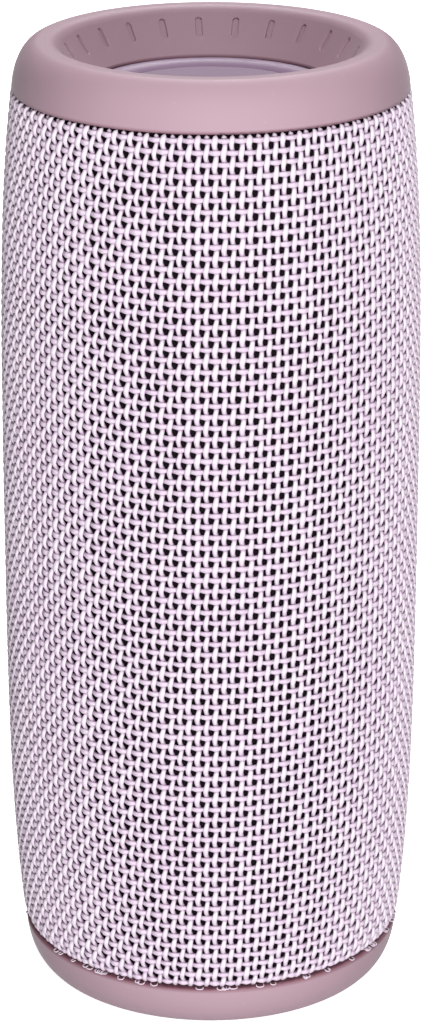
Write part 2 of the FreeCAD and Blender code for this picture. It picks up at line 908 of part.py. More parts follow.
def make_lights():
    y = button_board_y + button_board_thickness
    z = mid + light_z
    h = light_size / 2
    return [box(x - h, x + h, y, y + light_height, z - h, z + h) for x in light_spots]


def light_bar(back, front, gap):
    """Cross bar that joins the light pins, grown by a gap."""
    w = light_bar_half_width + gap
    h = light_bar_half_height + gap
    return box(-w, w, back, front, mid + light_z - h, mid + light_z + h)


def make_light_guide():
    z = mid + light_z
    back = button_board_y + button_board_thickness + 1.0
    bar = light_bar(back, barrel(z, housing_in) + 0.1, 0)
    pins = [rod(light_pin_radius, (x, back + 0.5, z), (0, 1, 0), barrel_radius) for x in light_spots]
    skin = barrel_solid(-strip_proud, z - 8, z + 8)
    return fuse_all([bar] + [p.common(skin) for p in pins])


# ---------------------------------------------------------------- controls
def socket_mouth():
    return barrel(mid + port_z) - housing_out


def socket_hole(gap, reach):
    w = socket_width / 2 + gap
    h = socket_height / 2 + gap
    z = mid + port_z
    middle = box(-w + h, w - h, 22, reach, z - h, z + h)
    ends = [rod(h, (sx * (w - h), 22, z), (0, 1, 0), reach - 22) for sx in (-1, 1)]
    return fuse_all([middle] + ends)


def hinge_y():
    return barrel(mid + port_z) + strip_proud - hinge_radius - 0.15


def hinge_z():
    return mid + port_z - hinge_drop


def hinge_groove():
    half = door_width / 2 + door_gap
    round_hole = rod(hinge_radius + door_gap, (-half, hinge_y(), hinge_z()), (1, 0, 0), 2 * half)
    return round_hole


def make_strip():
    low = mid + strip_bottom
    high = mid + strip_top
    half = strip_width / 2
    shell = barrel_shell(-strip_proud, housing_out - part_gap / 2, low, high)
    body = shell.common(box(-half, half, 0, barrel_radius * 1.2, low, high))
    corners = [e for e in body.Edges if abs(e.BoundBox.YLength) > 1.5 and e.BoundBox.ZLength < 0.2
               and e.BoundBox.XLength < 0.2]
    body = body.makeFillet(2.2, corners) if corners else body
    reach = barrel_radius * 1.2
    for z in button_heights():
        body = body.cut(rod(button_radius + button_gap, (0, 20, z), (0, 1, 0), reach))
    for x in light_spots:
        body = body.cut(rod(light_pin_radius + 0.05, (x, 20, mid + light_z), (0, 1, 0), reach))
    z0 = hinge_z() - hinge_radius - hinge_web
    z1 = mid + port_z + door_top + door_gap
    side = door_width / 2 + door_gap
    pocket = barrel_shell(-strip_proud - 3, door_thickness - strip_proud + door_gap, z0 - 2, z1 + 2)
    pocket = pocket.common(box(-side, side, 0, reach, z0, z1))
    body = body.cut(pocket).cut(hinge_groove())
    body = body.cut(socket_hole(0.3, reach))
    knuckles = []
    inner = hinge_half_width + door_gap
    for x in (-side, inner):
        knuckles.append(rod(hinge_radius, (x, hinge_y(), hinge_z()), (1, 0, 0), side - inner))
        knuckles.append(box(x, x + side - inner, hinge_y() - hinge_radius, hinge_y() + 0.3,
                            z0 - 0.2, hinge_z()))
    body = fuse_all([body] + knuckles)
    return body.cut(rod(pin_radius, (-side - 0.2, hinge_y(), hinge_z()), (1, 0, 0), 2 * side + 0.4))


def make_door():
    side = door_width / 2
    z0 = hinge_z() + hinge_radius + door_gap
    z1 = mid + port_z + door_top
    reach = barrel_radius * 1.2
    skin = barrel_shell(-strip_proud, door_thickness - strip_proud, hinge_z() - 3, z1 + 3)
    plate = skin.common(box(-side, side, 0, reach, z0, z1))
    tongue = skin.common(box(-hinge_half_width, hinge_half_width, 0, reach, hinge_z(), z0 + 0.2))
    start = (-hinge_half_width, hinge_y(), hinge_z())
    sleeve = rod(hinge_radius, start, (1, 0, 0), 2 * hinge_half_width)
    body = fuse_all([plate, tongue, sleeve])
    return body.cut(rod(pin_radius + pin_clearance, start, (1, 0, 0), 2 * hinge_half_width))


def make_hinge_pin():
    side = door_width / 2 + door_gap
    return rod(pin_radius, (-side, hinge_y(), hinge_z()), (1, 0, 0), 2 * side)


def make_socket():
    """Metal shell of the charging socket, with its contact tongue."""
    z = mid + port_z
    w = socket_width / 2
    h = socket_height / 2
    y1 = socket_mouth()
    y0 = y1 - socket_length

    def pill(hw, hh, a, b):
        core = box(-hw + hh, hw - hh, a, b, z - hh, z + hh)
        ends = [rod(hh, (sx * (hw - hh), a, z), (0, 1, 0), b - a) for sx in (-1, 1)]
        return fuse_all([core] + ends)

    shell = pill(w, h, y0, y1).cut(pill(w - 0.3, h - 0.3, y0 + 1.0, y1 + 1))
    tongue = box(-3.3, 3.3, y0 + 0.8, y1 - 0.8, z - 0.35, z + 0.35)
    return shell.fuse(tongue).removeSplitter()


def make_charging_board():
    half = 7.0
    z1 = mid + port_z - socket_height / 2
    y0 = board_y + board_thickness
    y1 = math.sqrt(barrel(z1 - 1.0, housing_in) ** 2 - half ** 2) - 0.3
    return box(-half, half, y0, y1, z1 - 1.0, z1)


def make_button(z):
    back = switch_top() + button_travel + 0.1
    r = button_radius + flange_extra
    seat = math.sqrt(barrel(z, housing_out) ** 2 - (r + 0.1) ** 2) - 0.25
    front = barrel(z) + strip_proud + button_proud
    flange = rod(r, (0, seat - 0.8, z), (0, 1, 0), 0.8)
    stem = rod(1.6, (0, back, z), (0, 1, 0), seat - back)
    cap = rod(button_radius, (0, seat - 0.4, z), (0, 1, 0), front - seat + 0.4)
    rim = [e for e in cap.Edges if e.BoundBox.YMin > front - 0.01]
    cap = cap.makeFillet(0.5, rim)
    return fuse_all([cap, flange, stem])


def make_case_screws():
    out = []
    for z in case_screw_heights():
        for sx in (-1, 1):
            start = (sx * case_screw_x(z), case_screw_seat, z)
            out.append(screw(start, (0, -1, 0), case_screw_length))
    return out


def lead(points, radius):
    wire = Part.makePolygon([V(*p) for p in points])
    first = V(*points[1]).sub(V(*points[0]))
    disc = Part.Face(Part.Wire(Part.makeCircle(radius, V(*points[0]), first)))
    pipe = Part.Wire(wire.Edges).makePipeShell([Part.Wire(disc.Edges)], True, True, 1)
    return pipe


def make_driver_leads():
    """Two pairs of leads, from each driver round the cells to the board."""
    out = []
    side = cradle_half() + lead_clearance
    start_y = -driver_face + lead_depth
    for z in driver_centres():
        for dx in (0, lead_pitch):
            x = side + dx
            pts = [(yoke_radius + 1.2, start_y, z + dx), (x, start_y, z + dx),
                   (x, board_y + 0.8, z + dx), (board_width / 2 + 0.2, board_y + 0.8, z + dx)]
            out.append(lead(pts, lead_radius))
    return out


# ---------------------------------------------------------------- build
def build():
    os.makedirs("parts", exist_ok=True)
    seam = ring_height + soft_gap
    far = barrel_radius * 1.2
    sleeve = barrel_shell(0, sleeve_thickness, seam, overall_height - seam)
    save("woven_sleeve", sleeve.cut(strip_window(0.2, 0, far)))
    low = flange_depth + 0.2
    lining = barrel_shell(lining_out, lining_out + lining_thickness, low, overall_height - low)
    save("sleeve_lining", lining.cut(strip_window(0.2, 0, far)))
    save("front_housing", make_front_housing())
    save("rear_housing", make_rear_housing())
    save("housing_screws", Part.makeCompound(make_case_screws()))

    pieces = [("end_ring", make_ring()), ("cap_frame", make_cap_frame()),
              ("radiator_frame", make_radiator_frame()), ("radiator_surround", make_surround()),
              ("radiator_diaphragm", make_diaphragm()), ("radiator_weight", make_radiator_weight())]
    for name, shape in pieces:
        save("top_" + name, shape)
        save("bottom_" + name, upside_down(shape))
    screws = Part.makeCompound(make_frame_screws())
    save("cap_frame_screws", Part.makeCompound([screws, upside_down(screws)]))

    makers = [("basket", make_basket), ("yoke", make_yoke), ("magnet", make_magnet),
              ("pole_plate", make_pole), ("voice_coil", make_coil), ("cone", make_cone),
              ("dust_cap", make_dust_cap), ("cone_surround", make_driver_surround), ("spider", make_spider)]
    for where, z in zip(("upper_", "lower_"), driver_centres()):
        for name, maker in makers:
            save(where + name, maker(z))
    save("driver_gaskets", Part.makeCompound([make_gasket(z) for z in driver_centres()]))
    save("driver_screws", Part.makeCompound(make_driver_screws()))

    save("battery_cells", Part.makeCompound(make_cells()))
    save("battery_cradle", make_cradle())
    save("main_board", make_main_board())
    save("board_screws", Part.makeCompound(make_board_screws()))
    save("board_chips", Part.makeCompound(make_chips()))
    save("board_inductors", Part.makeCompound(make_inductors()))
    save("board_capacitors", Part.makeCompound(make_capacitors()))
    save("driver_leads", Part.makeCompound(make_driver_leads()))

    save("button_board", make_button_board())
    save("button_switches", Part.makeCompound(make_switches()))
    save("status_lights", Part.makeCompound(make_lights()))
    save("status_light_guide", make_light_guide())
    save("charging_board", make_charging_board())
    save("charging_socket", make_socket())
    save("control_strip", make_strip())
    names = ["power_button", "pairing_button", "volume_down_button", "volume_up_button", "play_button"]
    for name, z in zip(names, button_heights()):
        save(name, make_button(z))
    save("port_door", make_door())
    save("port_hinge_pin", make_hinge_pin())


build()
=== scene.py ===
# %% [markdown]
# # A portable barrel speaker
# The speaker is a barrel wrapped in thick woven yarn, with a soft ring at each end and a bass
# radiator sunk in each ring. The measured parts come in as a frame, and every piece made here is
# placed from that frame. Work in metres and keep one name for a millimetre, so that each size below
# can be read as a maker would say it.

# %% Bring in the frame
import bpy
import math
import numpy as np
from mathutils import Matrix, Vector


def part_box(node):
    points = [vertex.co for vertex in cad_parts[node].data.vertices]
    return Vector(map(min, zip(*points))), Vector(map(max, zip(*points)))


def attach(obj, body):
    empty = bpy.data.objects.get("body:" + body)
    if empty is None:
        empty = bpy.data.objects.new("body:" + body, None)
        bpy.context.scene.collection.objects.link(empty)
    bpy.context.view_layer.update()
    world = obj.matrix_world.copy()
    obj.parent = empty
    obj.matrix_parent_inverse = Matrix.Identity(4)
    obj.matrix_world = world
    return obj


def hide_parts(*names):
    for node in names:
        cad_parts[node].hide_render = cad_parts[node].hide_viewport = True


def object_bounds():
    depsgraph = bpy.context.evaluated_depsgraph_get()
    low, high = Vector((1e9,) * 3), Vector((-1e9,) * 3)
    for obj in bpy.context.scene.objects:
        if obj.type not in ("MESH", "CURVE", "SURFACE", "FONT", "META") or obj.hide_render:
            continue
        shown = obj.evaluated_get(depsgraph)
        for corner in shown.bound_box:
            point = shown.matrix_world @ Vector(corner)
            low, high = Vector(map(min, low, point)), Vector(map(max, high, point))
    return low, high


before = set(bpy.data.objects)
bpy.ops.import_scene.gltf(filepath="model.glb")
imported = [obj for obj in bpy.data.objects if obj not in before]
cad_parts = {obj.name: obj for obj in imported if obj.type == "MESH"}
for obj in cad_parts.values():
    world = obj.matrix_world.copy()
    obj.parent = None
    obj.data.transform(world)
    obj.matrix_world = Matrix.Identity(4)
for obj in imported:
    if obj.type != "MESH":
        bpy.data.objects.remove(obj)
cad_low, cad_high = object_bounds()
mm = 0.001
print("box of the frame, mm:", [round(v / mm, 1) for v in cad_high - cad_low])

# %% [markdown]
# ## Sizes that the pieces share
# The barrel is fullest at mid height and falls away slowly, then faster, so its outline mixes a
# square term and a fourth-power term. One function gives the radius anywhere, and the yarns, the
# lining and the strip all call it, so they can't drift apart. The seams, where the sleeve meets the
# rings, come from the box of the sleeve's CAD solid.

# %% The barrel's outline
height = cad_high.z - cad_low.z
middle = height / 2
sleeve_low, sleeve_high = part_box("woven_sleeve")
half_sleeve = (sleeve_high.z - sleeve_low.z) / 2
full_radius = sleeve_high.x
end_radius = 34.9 * mm
square_share = 0.14


def barrel(z, inset=0.0):
    """Radius of the sleeve's outside at a height, less an inset. Takes one number or an array."""
    t = (z - middle) / half_sleeve
    fall = square_share * t ** 2 + (1 - square_share) * t ** 4
    return full_radius - (full_radius - end_radius) * fall - inset


print("mid height %.1f mm" % (middle / mm))
print("full radius %.2f mm, end radius %.2f mm" % (full_radius / mm, end_radius / mm))

# %% [markdown]
# ## The camera
# A long lens from a little over half a metre, looking down about twenty degrees, keeps the barrel's
# sides nearly parallel while still opening the top recess to view. Aiming at the axis at mid height
# keeps the view unshifted.

# %% Camera
eye_distance = 661 * mm
eye_pitch = math.radians(20.17)
lens_length = 127.6  # a lens is given in millimetres
aim = Vector((0, 0, middle))
camera_data = bpy.data.cameras.new("camera")
camera_data.lens = lens_length
camera_data.clip_start = 0.01
camera = bpy.data.objects.new("camera", camera_data)
bpy.context.scene.collection.objects.link(camera)
camera.location = aim + eye_distance * Vector((0, -math.cos(eye_pitch), math.sin(eye_pitch)))
camera.rotation_euler = (aim - camera.location).to_track_quat("-Z", "Y").to_euler()
bpy.context.scene.camera = camera
print("camera at", [round(v, 4) for v in camera.location], "lens", camera_data.lens)

# %% [markdown]
# ## Arithmetic on shader sockets
# Shader maths reads best as plain expressions, such as `1 - mask * 0.3`. A small class wraps one
# output socket and overloads the operators; each use adds a Math node. The reflected forms let a
# number come first. A Math node would turn a colour grey, so colours go through Mix instead, which
# `Paint.blend` makes.

# %% The wire
class Wire:
    """One output socket that can be used in arithmetic."""

    def __init__(self, pot, socket):
        self.pot = pot
        self.socket = socket

    def maths(self, operation, first, second, clamp=False):
        settings = {"operation": operation, "use_clamp": clamp}
        return self.pot.add("ShaderNodeMath", settings, {0: first, 1: second})

    def __add__(self, other):
        return self.maths("ADD", self, other)

    def __radd__(self, other):
        return self.maths("ADD", other, self)

    def __sub__(self, other):
        return self.maths("SUBTRACT", self, other)

    def __rsub__(self, other):
        return self.maths("SUBTRACT", other, self)

    def __mul__(self, other):
        return self.maths("MULTIPLY", self, other)

    def __rmul__(self, other):
        return self.maths("MULTIPLY", other, self)

    def __truediv__(self, other):
        return self.maths("DIVIDE", self, other)

    def __abs__(self):
        return self.maths("ABSOLUTE", self, 0.0)

    def sine(self):
        return self.maths("SINE", self, 0.0)

    def held(self):
        """The same value kept between nought and one."""
        return self.maths("ADD", self, 0.0, True)


print("a wire can be added, subtracted, multiplied and divided")


# %% The paint pot
class Paint:
    """A material being mixed: every node comes from add()."""

    def __init__(self, name):
        self.material = bpy.data.materials.new(name)
        self.material.use_nodes = True
        self.tree = self.material.node_tree
        self.tree.nodes.clear()

    def add(self, kind, settings=None, inputs=None, output=0):
        node = self.tree.nodes.new(kind)
        for key, value in (settings or {}).items():
            setattr(node, key, value)
        for key, value in (inputs or {}).items():
            if isinstance(value, Wire):
                self.tree.links.new(value.socket, node.inputs[key])
            else:
                node.inputs[key].default_value = value
        return Wire(self, node.outputs[output]) if node.outputs else None

    def blend(self, share, first, second):
        """A colour between two others."""
        first, second = (c if isinstance(c, Wire) else (*c, 1) for c in (first, second))
        return self.add("ShaderNodeMix", {"data_type": "RGBA"}, {0: share, 6: first, 7: second}, 2)

    def here(self):
        """Place on the object, in metres."""
        return self.add("ShaderNodeTexCoord", {}, {}, 3)

    def part(self, place, which):
        """One number of a vector: 0, 1 or 2."""
        return self.add("ShaderNodeSeparateXYZ", {}, {0: place}, which)

    def stretched(self, place, by):
        """The same place, scaled apart along each axis, for grain that runs one way."""
        return self.add("ShaderNodeVectorMath", {"operation": "MULTIPLY"}, {0: place, 1: by})

    def noise(self, place, size, detail=2.0, rough=0.5):
        """Soft patches of about one size."""
        inputs = {"Vector": place, "Scale": 1 / size, "Detail": detail, "Roughness": rough}
        return self.add("ShaderNodeTexNoise", {}, inputs)

    def cells(self, place, size):
        """Distance from the middle of scattered cells."""
        return self.add("ShaderNodeTexVoronoi", {}, {"Vector": place, "Scale": 1 / size})

    def bump(self, high, strength, depth):
        return self.add("ShaderNodeBump", {}, {"Height": high, "Strength": strength, "Distance": depth})

    def finish(self, **sockets):
        """Close the material with a Principled shader; names use _ for a space."""
        inputs = {key.replace("_", " "): value for key, value in sockets.items()}
        shader = self.add("ShaderNodeBsdfPrincipled", {}, inputs)
        self.add("ShaderNodeOutputMaterial", {}, {"Surface": shader})
        return self.material


print("paint tools ready")

# %% [markdown]
# ## Yarn colour and feel
# The sleeve is thick, soft, slightly glossy yarn: hundreds of fine filaments laid side by side with
# a gentle twist. Modelling the filaments would take millions of strands, so the yarns themselves
# are real tubes and the filaments are a fine stripe in the bump, laid along each tube by its own
# map. Three scales of noise vary the dye from yarn to yarn and along each yarn. The crowns stay
# nearly white, and painted shade darkens the colour where a yarn lies deep, diving under another,
# so a second map carries how deep each corner lies, in millimetres, and the colour follows it.

# %% Yarn
filaments_round = 9
twist_per_metre = 420.0
# The next three numbers set where the painted shade of deep-lying yarn begins, in millimetres below the
# outline, how much it wanders and how fast it darkens.
painted_shade_start = 0.18  # millimetres below the barrel's outline
painted_shade_stray = 0.25
painted_shade_rate = 1.9


def mix_yarn(name, light, shade, deep_shade):
    pot = Paint(name)
    sunk = pot.part(pot.add("ShaderNodeUVMap", {"uv_map": "sunk"}), 0)
    strand = pot.add("ShaderNodeUVMap", {"uv_map": "strand"})
    round_it = pot.part(strand, 0)
    along = pot.part(strand, 1)
    filament = ((round_it * filaments_round + along * twist_per_metre) * (2 * math.pi)).sine()
    stray = pot.noise(pot.here(), 0.35 * mm, 2.0, 0.6)
    patch = pot.noise(pot.here(), 2.2 * mm)
    cast = pot.noise(pot.here(), 16 * mm, 1.0)
    share = patch * 0.5 + stray * 0.35 + cast * 0.3 - 0.08 + filament * 0.06
    # Painted shade: the colour darkens towards the last colour given as the yarn lies deeper below the
    # barrel's outline.
    painted_depth_shade = ((sunk + (stray - 0.5) * painted_shade_stray - painted_shade_start) * painted_shade_rate).held()
    return pot.finish(
        Base_Color=pot.blend(painted_depth_shade, pot.blend(share.held(), shade, light), deep_shade),
        Roughness=0.5 + stray * 0.16,
        Specular_IOR_Level=0.6,
        Sheen_Weight=0.05,
        Sheen_Roughness=0.5,
        Sheen_Tint=(1.0, 0.93, 0.99, 1),
        Normal=pot.bump(filament * 0.4 + stray * 0.8, 0.5, 0.05 * mm))


upright_paint = mix_yarn("yarn_upright", (0.90, 0.83, 0.90), (0.74, 0.58, 0.73), (0.24, 0.13, 0.24))
# Painted shade: the round yarns take darker colours than the upright ones, standing for the weaker light that
# falls on them.
round_paint = mix_yarn("yarn_round", (0.80, 0.70, 0.80), (0.62, 0.46, 0.62), (0.21, 0.11, 0.21))
print("yarns:", upright_paint.name, round_paint.name)

# %% [markdown]
# ## A tube maker for yarn
# A curve with a bevel would give round tubes of one size, but a yarn squashes flat where it crosses
# another. So the tubes are built as a mesh: each point of a yarn carries its own half width and
# half thickness, and a ring of corners is laid round it. All yarns are made in one go with arrays,
# because there are over two hundred of them. Each mesh carries a map of where it is along and round
# its yarn, one of how deep it lies below the barrel's outline, and one that lays the yarns side by
# side. The sleeve is stretched over the housing and its ends are turned in behind the rings,
# further at the foot than at the top; one helper gives how far at a height.

# %% Ends turned in
foot_curl, foot_curl_height = 1.15 * mm, 2.3 * mm
top_curl, top_curl_height = 0.6 * mm, 1.0 * mm


def turn_in(z):
    """How far the sleeve curls in towards a ring."""
    at_foot = np.clip((z - sleeve_low.z) / foot_curl_height, 0, 1)
    at_top = np.clip((sleeve_high.z - z) / top_curl_height, 0, 1)
    return foot_curl * (1 - at_foot) ** 2 + top_curl * (1 - at_top) ** 2


print("turned in %.2f mm at the foot" % (turn_in(sleeve_low.z) / mm))

# %% Rings round a line
ring_sides = 8


def rings_along(line, wide, thick, closed):
    """Corners of the rings round one yarn; its flat side lies along the barrel."""
    ahead = np.roll(line, -1, 0) - np.roll(line, 1, 0)
    if not closed:
        ahead[0] = line[1] - line[0]
        ahead[-1] = line[-1] - line[-2]
        tip = np.ones(len(line))
        tip[[0, -1]] = 0.1
        wide, thick = wide * tip, thick * tip
    out = line * [1, 1, 0]
    out /= np.linalg.norm(out, axis=1)[:, None]
    side = np.cross(ahead, out)
    side /= np.linalg.norm(side, axis=1)[:, None]
    out = np.cross(side, ahead)
    out /= np.linalg.norm(out, axis=1)[:, None]
    angle = 2 * math.pi * np.arange(ring_sides) / ring_sides
    across = side[:, None, :] * (wide[:, None, None] * np.cos(angle)[None, :, None])
    return line[:, None, :] + across + out[:, None, :] * (thick[:, None, None] * np.sin(angle)[None, :, None])


def faces_along(count, closed):
    """Four corners of each face between the rings of one yarn."""
    spans = count if closed else count - 1
    i = np.arange(spans)[:, None]
    j = np.arange(ring_sides)[None, :]
    up = (i + 1) % count
    left = (j + 1) % ring_sides
    here, above = i * ring_sides, up * ring_sides
    faces = np.stack([here + j, here + left, above + left, above + j], -1)
    return faces.reshape(-1, 4), spans


def strand_corners(line, spans):
    """Share of the way round and metres along, at each corner of each face."""
    turn = np.arange(ring_sides + 1) / ring_sides
    step = np.linalg.norm(np.roll(line, -1, 0) - line, axis=1)
    run = np.concatenate([[0], np.cumsum(step)])[:spans + 1]
    u0, v0 = np.broadcast_arrays(turn[:-1][None, :], run[:-1, None])
    u1, v1 = np.broadcast_arrays(turn[1:][None, :], run[1:, None])
    corners = [np.stack(pair, -1) for pair in ((u0, v0), (u1, v0), (u1, v1), (u0, v1))]
    return np.stack(corners, 2).reshape(-1, 2), run[-1]


print("each yarn has", ring_sides, "sides")

# %% Mesh of many yarns
lane_start, lane_share = 0.08, 0.84
run_start, run_share = 0.002, 0.996


def lay_yarns(name, runs, paint, closed=False, body="speaker"):
    """A mesh of yarns. Each run is a line of points with its half widths and half thicknesses."""
    verts, quads, strand_map, bake_map, sunk_map = [], [], [], [], []
    first = 0
    lane = 1.0 / len(runs)
    for k, (line, wide, thick) in enumerate(runs):
        corner = rings_along(line, wide, thick, closed).reshape(-1, 3)
        verts.append(corner)
        faces, spans = faces_along(len(line), closed)
        quads.append(faces + first)
        sunk = (barrel(corner[:, 2]) - turn_in(corner[:, 2]) - np.hypot(corner[:, 0], corner[:, 1])) / mm
        sunk_map.append(np.stack([sunk, sunk * 0], -1)[faces.ravel()])
        corners, run = strand_corners(line, spans)
        strand_map.append(corners)
        bake_map.append(np.stack([(k + lane_start + lane_share * corners[:, 0]) * lane,
                                  run_start + run_share * corners[:, 1] / run], -1))
        first += len(line) * ring_sides
    verts = np.concatenate(verts)
    quads = np.concatenate(quads)
    mesh = bpy.data.meshes.new(name)
    mesh.vertices.add(len(verts))
    mesh.vertices.foreach_set("co", verts.astype(np.float32).ravel())
    mesh.loops.add(len(quads) * 4)
    mesh.loops.foreach_set("vertex_index", quads.astype(np.int32).ravel())
    mesh.polygons.add(len(quads))
    mesh.polygons.foreach_set("loop_start", np.arange(0, len(quads) * 4, 4, dtype=np.int32))
    mesh.update(calc_edges=True)
    for title, data in (("OFBake", bake_map), ("strand", strand_map), ("sunk", sunk_map)):
        layer = mesh.uv_layers.new(name=title)
        layer.data.foreach_set("uv", np.concatenate(data).astype(np.float32).ravel())
    mesh.polygons.foreach_set("use_smooth", np.ones(len(quads), bool))
    mesh.materials.append(paint)
    piece = bpy.data.objects.new(name, mesh)
    bpy.context.scene.collection.objects.link(piece)
    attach(piece, body)
    return piece


print("each yarn takes %.0f%% of its lane in the baking map" % (100 * lane_share))

# %% [markdown]
# ## The weave
# It is a plain weave: upright yarns go over one round yarn and under the next, and their neighbours
# do the opposite. The twist of the yarn pushes each upright aside just below every round yarn, to
# the right where it dives and to the left where it climbs, so that one hole is round and the next
# is a small peak, in a chequer. The heights of both families come from one cosine, which keeps
# every crossing in step, and an even count round the barrel lets the last yarn meet the first.

# %% Weave sizes
columns = 150
rows = 80
row_pitch = (sleeve_high.z - sleeve_low.z) / rows
crossing_steps = 5
upright_wide, upright_thick = 0.47 * mm, 0.33 * mm
round_wide, round_thick = 0.45 * mm, 0.33 * mm
crimp = 0.33 * mm
sway = 0.17 * mm
weave_depth = 0.5 * mm
yarn_drift = 0.035
yarn_swell = 0.05
crimp_change = 0.06
crossing_swell = 0.09
strip_low, strip_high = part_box("control_strip")
strip_room = 0.05 * mm
strip_edge = strip_high.x + strip_room
strip_middle = (strip_low.z + strip_high.z) / 2
strip_half_height = (strip_high.z - strip_low.z) / 2
strip_corner = 2.2 * mm
rng = np.random.default_rng(11)


def any_phase():
    """A random start for a wave, so that no two yarns wander alike."""
    return rng.uniform(0, 6.3)


print("columns", columns, "rows", rows, "row pitch %.2f mm" % (row_pitch / mm),
      "column pitch %.2f mm" % (2 * math.pi * full_radius / columns / mm))

# %% [markdown]
# The sleeve has a window for the control strip at the back. One helper cuts a yarn where it would
# cross the strip.

# %% Edge of the window
def in_strip(x, y, z):
    """Whether a place is inside the window, whose corners are round like the strip's."""
    past_x = np.maximum(np.abs(x) - (strip_edge - strip_corner), 0)
    past_z = np.maximum(np.abs(z - strip_middle) - (strip_half_height - strip_corner), 0)
    return (y > 0) & (np.hypot(past_x, past_z) < strip_corner)


def pieces_outside(line, wide, thick):
    """The stretches of a yarn that lie clear of the control strip."""
    hidden = in_strip(line[:, 0], line[:, 1], line[:, 2])
    groups = np.split(np.arange(len(line)), np.flatnonzero(np.diff(hidden.astype(int))) + 1)
    return [(line[g], wide[g], thick[g]) for g in groups if not hidden[g[0]] and len(g) > 2]


print("window %.1f by %.1f mm" % (2 * strip_edge / mm, 2 * strip_half_height / mm))


# %% Upright yarns
def upright(k):
    z = np.linspace(sleeve_low.z, sleeve_high.z, rows * crossing_steps + 1)
    phase = math.pi * ((z - sleeve_low.z) / row_pitch - 0.5) + math.pi * k
    drift = rng.normal(0, yarn_drift) * mm + yarn_drift * mm * np.sin(z / (7 * mm) + any_phase())
    lift = crimp * (1 + crimp_change * np.sin(z / (4.3 * mm) + any_phase()))
    r = barrel(z, weave_depth) + lift * np.cos(phase) - turn_in(z)
    lean = sway * np.cos(phase - 0.75 * math.pi) + drift
    theta = 2 * math.pi * k / columns + lean / r
    line = np.stack([r * np.cos(theta), r * np.sin(theta), z], -1)
    swell = 1 + yarn_swell * rng.normal() + yarn_swell * np.sin(z / (3.1 * mm) + any_phase())
    wide = upright_wide * swell * (1 + crossing_swell * np.cos(2 * phase))
    return line, wide, np.full_like(wide, upright_thick)


per_piece = 25
for start in range(0, columns, per_piece):
    runs = []
    for k in range(start, start + per_piece):
        runs += pieces_outside(*upright(k))
    name = "upright_yarns_%d" % (start // per_piece + 1)
    lay_yarns(name, runs, upright_paint)

# %% Round yarns
def hoop(j):
    count = columns * crossing_steps
    theta = 2 * math.pi * np.arange(count) / count + math.pi / 2
    z0 = sleeve_low.z + (j + 0.5) * row_pitch
    phase = theta * columns / 2 + math.pi * j
    slow_wander = 0.03 * mm * np.sin(3 * theta + any_phase())
    quick_wander = 0.02 * mm * np.sin(11 * theta + any_phase())
    z = z0 + (slow_wander + quick_wander)
    r = barrel(z, weave_depth) - crimp * np.cos(phase) - turn_in(z)
    line = np.stack([r * np.cos(theta), r * np.sin(theta), z], -1)
    swell = 1 + 0.04 * rng.normal() + yarn_swell * np.sin(17 * theta + any_phase())
    wide = round_wide * swell * (1 + crossing_swell * np.cos(2 * phase))
    return line, wide, np.full_like(wide, round_thick)


rows_per_piece = 10
for start in range(0, rows, rows_per_piece):
    whole, cut = [], []
    for j in range(start, start + rows_per_piece):
        line, wide, thick = hoop(j)
        if in_strip(line[:, 0], line[:, 1], line[:, 2]).any():
            cut += pieces_outside(line, wide, thick)
        else:
            whole.append((line, wide, thick))
    tag = start // rows_per_piece + 1
    for suffix, group, shut in (("", whole, True), ("_cut", cut, False)):
        if group:
            lay_yarns("round_yarns_%d%s" % (tag, suffix), group, round_paint, shut)

# %% [markdown]
# ## Loose loops at the foot
# Where the sleeve is turned in at the foot, a few filaments have sprung out and curl over the
# ring's edge. They are thin threads, each a small bow whose ends go back under the sleeve,
# scattered round the seam at random. Real loops are better here than a bump, because they break the
# straight line of the seam.

# %% Hem threads
thread_radius = 0.11 * mm
thread_tuck = 0.75 * mm
thread_count = 84


def bow_of_thread():
    s = np.linspace(0, math.pi, 9)
    spread = rng.uniform(0.3, 0.7) * mm
    drop = rng.uniform(0.08, 0.34) * mm
    theta = rng.uniform(0, 2 * math.pi) + spread * (np.cos(s) + 0.25 * np.sin(2 * s)) / end_radius
    r = end_radius - thread_tuck + (thread_tuck + 1.3 * thread_radius) * np.sin(s) ** 0.6
    z = sleeve_low.z + 0.25 * mm - drop * np.sin(s)
    line = np.stack([r * np.cos(theta), r * np.sin(theta), z], -1)
    size = np.full(len(s), thread_radius)
    return line, size, size


hem_threads = lay_yarns("hem_threads", [bow_of_thread() for _ in range(thread_count)], upright_paint)
print("hem threads:", len(hem_threads.data.polygons), "faces")

# %% [markdown]
# ## The backing cloth
# Behind the open weave lies a fine black cloth that keeps dust out and makes the holes read black.
# It is a single sheet wrapped round the barrel and sewn to the yarns, with a window for the control
# strip. Its holes are far too small to see, so one thin surface with a woven bump is enough.

# %% Backing cloth
def mix_scrim():
    pot = Paint("black_cloth")
    place = pot.here()
    spot = pot.noise(place, 0.33 * mm, 2.0, 0.6)
    cast = pot.noise(place, 11 * mm)
    return pot.finish(
        Base_Color=pot.blend(spot * 0.7 + cast * 0.3, (0.003, 0.002, 0.003), (0.012, 0.008, 0.011)),
        Roughness=0.9,
        Specular_IOR_Level=0.1,
        Normal=pot.bump(spot, 0.4, 0.05 * mm))


